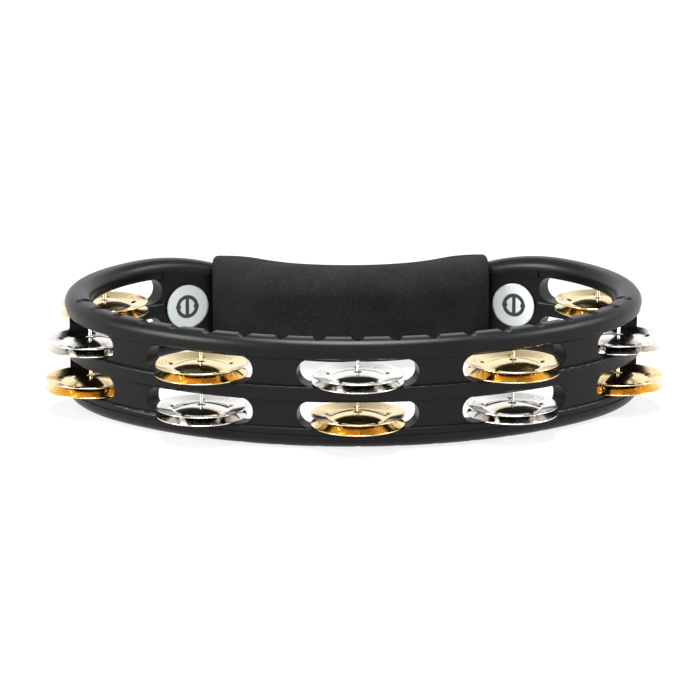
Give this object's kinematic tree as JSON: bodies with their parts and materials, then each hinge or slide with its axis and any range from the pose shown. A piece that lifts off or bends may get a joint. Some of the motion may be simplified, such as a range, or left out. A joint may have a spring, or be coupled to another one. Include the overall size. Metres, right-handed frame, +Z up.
{
  "type": "tambourine",
  "caption": "Crescent hand tambourine: slotted one-piece frame, loose paired jingles sliding on upright pins, padded inner handle.",
  "frame": {"origin": "middle of the underside, under the centre of the bounding box", "axes": "+X along the width, +Y from the curved front to the handle, +Z up, along the jingle pins"},
  "size_m": [0.2644, 0.1932, 0.0458],
  "materials": {
    "frame": "satin moulded, fine pebble grain",
    "grip": "matte closed-cell foam",
    "label": "gloss vinyl",
    "pin": "bright drawn wire",
    "brass_jingle": "polished",
    "steel_jingle": "polished"
  },
  "bodies": {
    "frame": {"frame": "frame", "foam_grip": "grip", "decal_left": "label", "decal_right": "label", "pin_rear_left": "pin", "pin_side_left": "pin", "pin_front_left": "pin", "pin_front": "pin", "pin_front_right": "pin", "pin_side_right": "pin", "pin_rear_right": "pin"},
    "jingle_rear_left_high_bottom": {"jingle_rear_left_high_bottom": "brass_jingle"},
    "jingle_rear_left_high_top": {"jingle_rear_left_high_top": "brass_jingle"},
    "jingle_rear_left_low_bottom": {"jingle_rear_left_low_bottom": "steel_jingle"},
    "jingle_rear_left_low_top": {"jingle_rear_left_low_top": "steel_jingle"},
    "jingle_side_left_high_bottom": {"jingle_side_left_high_bottom": "steel_jingle"},
    "jingle_side_left_high_top": {"jingle_side_left_high_top": "steel_jingle"},
    "jingle_side_left_low_bottom": {"jingle_side_left_low_bottom": "brass_jingle"},
    "jingle_side_left_low_top": {"jingle_side_left_low_top": "brass_jingle"},
    "jingle_front_left_high_bottom": {"jingle_front_left_high_bottom": "brass_jingle"},
    "jingle_front_left_high_top": {"jingle_front_left_high_top": "brass_jingle"},
    "jingle_front_left_low_bottom": {"jingle_front_left_low_bottom": "steel_jingle"},
    "jingle_front_left_low_top": {"jingle_front_left_low_top": "steel_jingle"},
    "jingle_front_high_bottom": {"jingle_front_high_bottom": "steel_jingle"},
    "jingle_front_high_top": {"jingle_front_high_top": "steel_jingle"},
    "jingle_front_low_bottom": {"jingle_front_low_bottom": "brass_jingle"},
    "jingle_front_low_top": {"jingle_front_low_top": "brass_jingle"},
    "jingle_front_right_high_bottom": {"jingle_front_right_high_bottom": "brass_jingle"},
    "jingle_front_right_high_top": {"jingle_front_right_high_top": "brass_jingle"},
    "jingle_front_right_low_bottom": {"jingle_front_right_low_bottom": "steel_jingle"},
    "jingle_front_right_low_top": {"jingle_front_right_low_top": "steel_jingle"},
    "jingle_side_right_high_bottom": {"jingle_side_right_high_bottom": "steel_jingle"},
    "jingle_side_right_high_top": {"jingle_side_right_high_top": "steel_jingle"},
    "jingle_side_right_low_bottom": {"jingle_side_right_low_bottom": "brass_jingle"},
    "jingle_side_right_low_top": {"jingle_side_right_low_top": "brass_jingle"},
    "jingle_rear_right_high_bottom": {"jingle_rear_right_high_bottom": "brass_jingle"},
    "jingle_rear_right_high_top": {"jingle_rear_right_high_top": "brass_jingle"},
    "jingle_rear_right_low_bottom": {"jingle_rear_right_low_bottom": "steel_jingle"},
    "jingle_rear_right_low_top": {"jingle_rear_right_low_top": "steel_jingle"}
  },
  "joints": [
    {"name": "jingle_rear_left_high_bottom_slide", "type": "slide", "parent": "frame", "child": "jingle_rear_left_high_bottom", "axis": [0, 0, 1], "range_m": [0, 0.00238]},
    {"name": "jingle_rear_left_high_top_slide", "type": "slide", "parent": "jingle_rear_left_high_bottom", "child": "jingle_rear_left_high_top", "axis": [0, 0, 1], "range_m": [0, 0.00238]},
    {"name": "jingle_rear_left_low_bottom_slide", "type": "slide", "parent": "frame", "child": "jingle_rear_left_low_bottom", "axis": [0, 0, 1], "range_m": [0, 0.00277]},
    {"name": "jingle_rear_left_low_top_slide", "type": "slide", "parent": "jingle_rear_left_low_bottom", "child": "jingle_rear_left_low_top", "axis": [0, 0, 1], "range_m": [0, 0.00277]},
    {"name": "jingle_side_left_high_bottom_slide", "type": "slide", "parent": "frame", "child": "jingle_side_left_high_bottom", "axis": [0, 0, 1], "range_m": [0, 0.00277]},
    {"name": "jingle_side_left_high_top_slide", "type": "slide", "parent": "jingle_side_left_high_bottom", "child": "jingle_side_left_high_top", "axis": [0, 0, 1], "range_m": [0, 0.00277]},
    {"name": "jingle_side_left_low_bottom_slide", "type": "slide", "parent": "frame", "child": "jingle_side_left_low_bottom", "axis": [0, 0, 1], "range_m": [0, 0.00238]},
    {"name": "jingle_side_left_low_top_slide", "type": "slide", "parent": "jingle_side_left_low_bottom", "child": "jingle_side_left_low_top", "axis": [0, 0, 1], "range_m": [0, 0.00238]},
    {"name": "jingle_front_left_high_bottom_slide", "type": "slide", "parent": "frame", "child": "jingle_front_left_high_bottom", "axis": [0, 0, 1], "range_m": [0, 0.00238]},
    {"name": "jingle_front_left_high_top_slide", "type": "slide", "parent": "jingle_front_left_high_bottom", "child": "jingle_front_left_high_top", "axis": [0, 0, 1], "range_m": [0, 0.00238]},
    {"name": "jingle_front_left_low_bottom_slide", "type": "slide", "parent": "frame", "child": "jingle_front_left_low_bottom", "axis": [0, 0, 1], "range_m": [0, 0.00277]},
    {"name": "jingle_front_left_low_top_slide", "type": "slide", "parent": "jingle_front_left_low_bottom", "child": "jingle_front_left_low_top", "axis": [0, 0, 1], "range_m": [0, 0.00277]},
    {"name": "jingle_front_high_bottom_slide", "type": "slide", "parent": "frame", "child": "jingle_front_high_bottom", "axis": [0, 0, 1], "range_m": [0, 0.00277]},
    {"name": "jingle_front_high_top_slide", "type": "slide", "parent": "jingle_front_high_bottom", "child": "jingle_front_high_top", "axis": [0, 0, 1], "range_m": [0, 0.00277]},
    {"name": "jingle_front_low_bottom_slide", "type": "slide", "parent": "frame", "child": "jingle_front_low_bottom", "axis": [0, 0, 1], "range_m": [0, 0.00238]},
    {"name": "jingle_front_low_top_slide", "type": "slide", "parent": "jingle_front_low_bottom", "child": "jingle_front_low_top", "axis": [0, 0, 1], "range_m": [0, 0.00238]},
    {"name": "jingle_front_right_high_bottom_slide", "type": "slide", "parent": "frame", "child": "jingle_front_right_high_bottom", "axis": [0, 0, 1], "range_m": [0, 0.00238]},
    {"name": "jingle_front_right_high_top_slide", "type": "slide", "parent": "jingle_front_right_high_bottom", "child": "jingle_front_right_high_top", "axis": [0, 0, 1], "range_m": [0, 0.00238]},
    {"name": "jingle_front_right_low_bottom_slide", "type": "slide", "parent": "frame", "child": "jingle_front_right_low_bottom", "axis": [0, 0, 1], "range_m": [0, 0.00277]},
    {"name": "jingle_front_right_low_top_slide", "type": "slide", "parent": "jingle_front_right_low_bottom", "child": "jingle_front_right_low_top", "axis": [0, 0, 1], "range_m": [0, 0.00277]},
    {"name": "jingle_side_right_high_bottom_slide", "type": "slide", "parent": "frame", "child": "jingle_side_right_high_bottom", "axis": [0, 0, 1], "range_m": [0, 0.00277]},
    {"name": "jingle_side_right_high_top_slide", "type": "slide", "parent": "jingle_side_right_high_bottom", "child": "jingle_side_right_high_top", "axis": [0, 0, 1], "range_m": [0, 0.00277]},
    {"name": "jingle_side_right_low_bottom_slide", "type": "slide", "parent": "frame", "child": "jingle_side_right_low_bottom", "axis": [0, 0, 1], "range_m": [0, 0.00238]},
    {"name": "jingle_side_right_low_top_slide", "type": "slide", "parent": "jingle_side_right_low_bottom", "child": "jingle_side_right_low_top", "axis": [0, 0, 1], "range_m": [0, 0.00238]},
    {"name": "jingle_rear_right_high_bottom_slide", "type": "slide", "parent": "frame", "child": "jingle_rear_right_high_bottom", "axis": [0, 0, 1], "range_m": [0, 0.00238]},
    {"name": "jingle_rear_right_high_top_slide", "type": "slide", "parent": "jingle_rear_right_high_bottom", "child": "jingle_rear_right_high_top", "axis": [0, 0, 1], "range_m": [0, 0.00238]},
    {"name": "jingle_rear_right_low_bottom_slide", "type": "slide", "parent": "frame", "child": "jingle_rear_right_low_bottom", "axis": [0, 0, 1], "range_m": [0, 0.00277]},
    {"name": "jingle_rear_right_low_top_slide", "type": "slide", "parent": "jingle_rear_right_low_bottom", "child": "jingle_rear_right_low_top", "axis": [0, 0, 1], "range_m": [0, 0.00277]}
  ]
}
